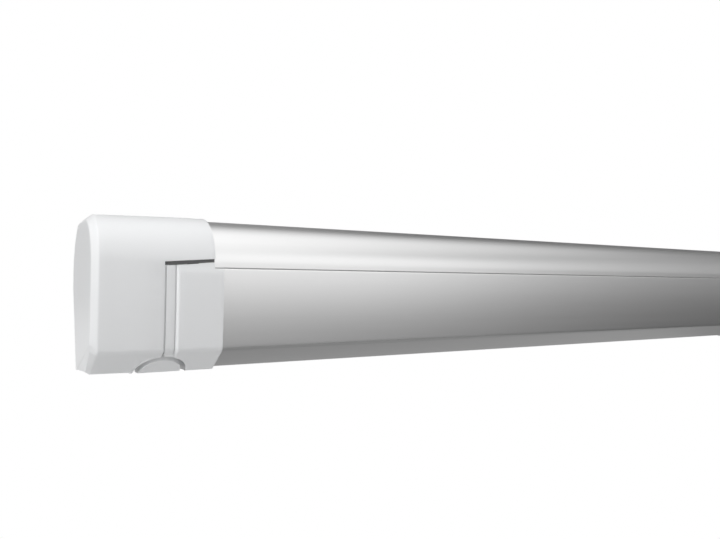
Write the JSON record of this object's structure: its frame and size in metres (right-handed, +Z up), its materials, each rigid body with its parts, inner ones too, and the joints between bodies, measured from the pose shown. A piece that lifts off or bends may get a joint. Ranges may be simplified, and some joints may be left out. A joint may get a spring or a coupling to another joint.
{
  "type": "roll out awning",
  "caption": "Closed wall-mounted cassette awning: silver box with white end caps, crank-driven canopy roller, folding arms and fold-down telescopic legs.",
  "frame": {"origin": "on the wall plane, midway between the two bolt holes of the middle wall bracket", "axes": "+X along the awning (right, seen from the front), +Y into the wall, +Z up"},
  "size_m": [1.92, 0.102, 0.1304],
  "materials": {
    "white_plastic": "white gloss moulding",
    "anodised": "satin anodised",
    "white_arm": "white powder coat",
    "casting": "cast, bead blasted",
    "steel": "zinc plated",
    "black_plastic": "moulded",
    "rubber": "moulded",
    "cloth": "coated canopy cloth"
  },
  "bodies": {
    "cassette": {"cassette_housing": "anodised", "end_cap_left": "white_plastic", "end_cap_right": "white_plastic", "end_plate_left": "casting", "end_plate_right": "casting", "gearbox_housing": "casting", "winding_boss": "white_plastic", "roller_bushes": "black_plastic", "shoulder_bracket_left": "casting", "shoulder_bracket_right": "casting", "shoulder_pins": "steel", "wall_brackets": "steel", "cassette_screws": "steel", "wall_seal": "rubber"},
    "roller": {"roller_tube": "anodised", "roller_plugs": "black_plastic", "canopy_roll": "cloth", "worm_wheel": "casting"},
    "winder": {"worm_shaft": "steel", "crank_eye": "steel"},
    "rail": {"lead_rail": "anodised", "rail_cap_left": "white_plastic", "rail_cap_right": "white_plastic", "wrist_bracket_left": "casting", "wrist_bracket_right": "casting", "wrist_pins": "steel", "leg_bracket_left": "black_plastic", "leg_bracket_right": "black_plastic", "leg_pins": "steel", "canopy_welt": "cloth"},
    "canopy": {"canopy_span": "cloth"},
    "arm_left_upper": {"upper_arm_left": "white_arm", "shoulder_knuckle_left": "casting", "elbow_fork_left": "casting", "elbow_pin_left": "steel"},
    "arm_left_fore": {"forearm_left": "white_arm", "elbow_tongue_left": "casting", "wrist_knuckle_left": "casting", "tension_spring_left": "steel"},
    "arm_right_upper": {"upper_arm_right": "white_arm", "shoulder_knuckle_right": "casting", "elbow_fork_right": "casting", "elbow_pin_right": "steel"},
    "arm_right_fore": {"forearm_right": "white_arm", "elbow_tongue_right": "casting", "wrist_knuckle_right": "casting", "tension_spring_right": "steel"},
    "leg_left_upper": {"leg_left": "anodised", "leg_knuckle_left": "black_plastic", "leg_collar_left": "black_plastic"},
    "leg_left_lower": {"leg_inner_left": "anodised"},
    "leg_left_foot": {"foot_left": "black_plastic"},
    "leg_left_cam": {"leg_lever_left": "white_plastic"},
    "leg_right_upper": {"leg_right": "anodised", "leg_knuckle_right": "black_plastic", "leg_collar_right": "black_plastic"},
    "leg_right_lower": {"leg_inner_right": "anodised"},
    "leg_right_foot": {"foot_right": "black_plastic"},
    "leg_right_cam": {"leg_lever_right": "white_plastic"}
  },
  "joints": [
    {"name": "roll_out", "type": "hinge", "parent": "cassette", "child": "arm_left_upper", "pos_m": [-0.81, -0.0235, -0.031], "axis": [0, 0.1045, -0.9945], "range_deg": [0, 78]},
    {"name": "elbow_left", "type": "hinge", "parent": "arm_left_upper", "child": "arm_left_fore", "pos_m": [-0.13, -0.0235, -0.031], "axis": [0, 0.1045, -0.9945], "range_deg": [-156, 0]},
    {"name": "wrist_left", "type": "hinge", "parent": "arm_left_fore", "child": "rail", "pos_m": [-0.81, -0.0235, -0.031], "axis": [0, 0.1045, -0.9945], "range_deg": [0, 78]},
    {"name": "shoulder_right", "type": "hinge", "parent": "cassette", "child": "arm_right_upper", "pos_m": [0.81, -0.0235, -0.031], "axis": [0, -0.1045, 0.9945], "range_deg": [0, 78]},
    {"name": "elbow_right", "type": "hinge", "parent": "arm_right_upper", "child": "arm_right_fore", "pos_m": [0.13, -0.0235, -0.031], "axis": [0, -0.1045, 0.9945], "range_deg": [-156, 0]},
    {"name": "roller_spin", "type": "hinge", "parent": "cassette", "child": "roller", "pos_m": [0, -0.04, 0.026], "axis": [-1, 0, 0], "range_deg": [0, 2960]},
    {"name": "winder_spin", "type": "hinge", "parent": "cassette", "child": "winder", "pos_m": [-0.9025, -0.062, 0], "axis": [0, 0, -1], "range_deg": [0, 32560]},
    {"name": "canopy_feed", "type": "slide", "parent": "cassette", "child": "canopy", "axis": [0, -0.9945, -0.1045], "range_m": [0, 1.33128], "deforming": ["canopy_span"]},
    {"name": "leg_left_swing", "type": "hinge", "parent": "rail", "child": "leg_left_upper", "pos_m": [-0.84, -0.0612, -0.048], "axis": [0, 1, 0], "range_deg": [0, 95]},
    {"name": "leg_left_extend", "type": "slide", "parent": "leg_left_upper", "child": "leg_left_lower", "axis": [1, 0, 0], "range_m": [0, 0.72]},
    {"name": "foot_left_tilt", "type": "hinge", "parent": "leg_left_lower", "child": "leg_left_foot", "pos_m": [0.027, -0.0612, -0.048], "axis": [0, 1, 0], "range_deg": [-30, 30]},
    {"name": "leg_left_lock", "type": "hinge", "parent": "leg_left_upper", "child": "leg_left_cam", "pos_m": [-0.014, -0.0612, -0.063], "axis": [0, -1, 0], "range_deg": [0, 80]},
    {"name": "leg_right_swing", "type": "hinge", "parent": "rail", "child": "leg_right_upper", "pos_m": [0.84, -0.0458, -0.048], "axis": [0, -1, 0], "range_deg": [0, 95]},
    {"name": "leg_right_extend", "type": "slide", "parent": "leg_right_upper", "child": "leg_right_lower", "axis": [-1, 0, 0], "range_m": [0, 0.72]},
    {"name": "foot_right_tilt", "type": "hinge", "parent": "leg_right_lower", "child": "leg_right_foot", "pos_m": [-0.027, -0.0458, -0.048], "axis": [0, 1, 0], "range_deg": [-30, 30]},
    {"name": "leg_right_lock", "type": "hinge", "parent": "leg_right_upper", "child": "leg_right_cam", "pos_m": [0.014, -0.0458, -0.063], "axis": [0, 1, 0], "range_deg": [0, 80]}
  ],
  "couplings": [
    {"joint": "elbow_left", "follows": "roll_out", "ratio": -2},
    {"joint": "wrist_left", "follows": "roll_out", "ratio": 1},
    {"joint": "elbow_right", "follows": "roll_out", "ratio": -2},
    {"joint": "shoulder_right", "follows": "roll_out", "ratio": 1},
    {"joint": "roller_spin", "follows": "roll_out", "ratio": 37.9},
    {"joint": "winder_spin", "follows": "roll_out", "ratio": 416.9},
    {"joint": "canopy_feed", "follows": "roll_out", "m_per_rad": 0.97717}
  ]
}
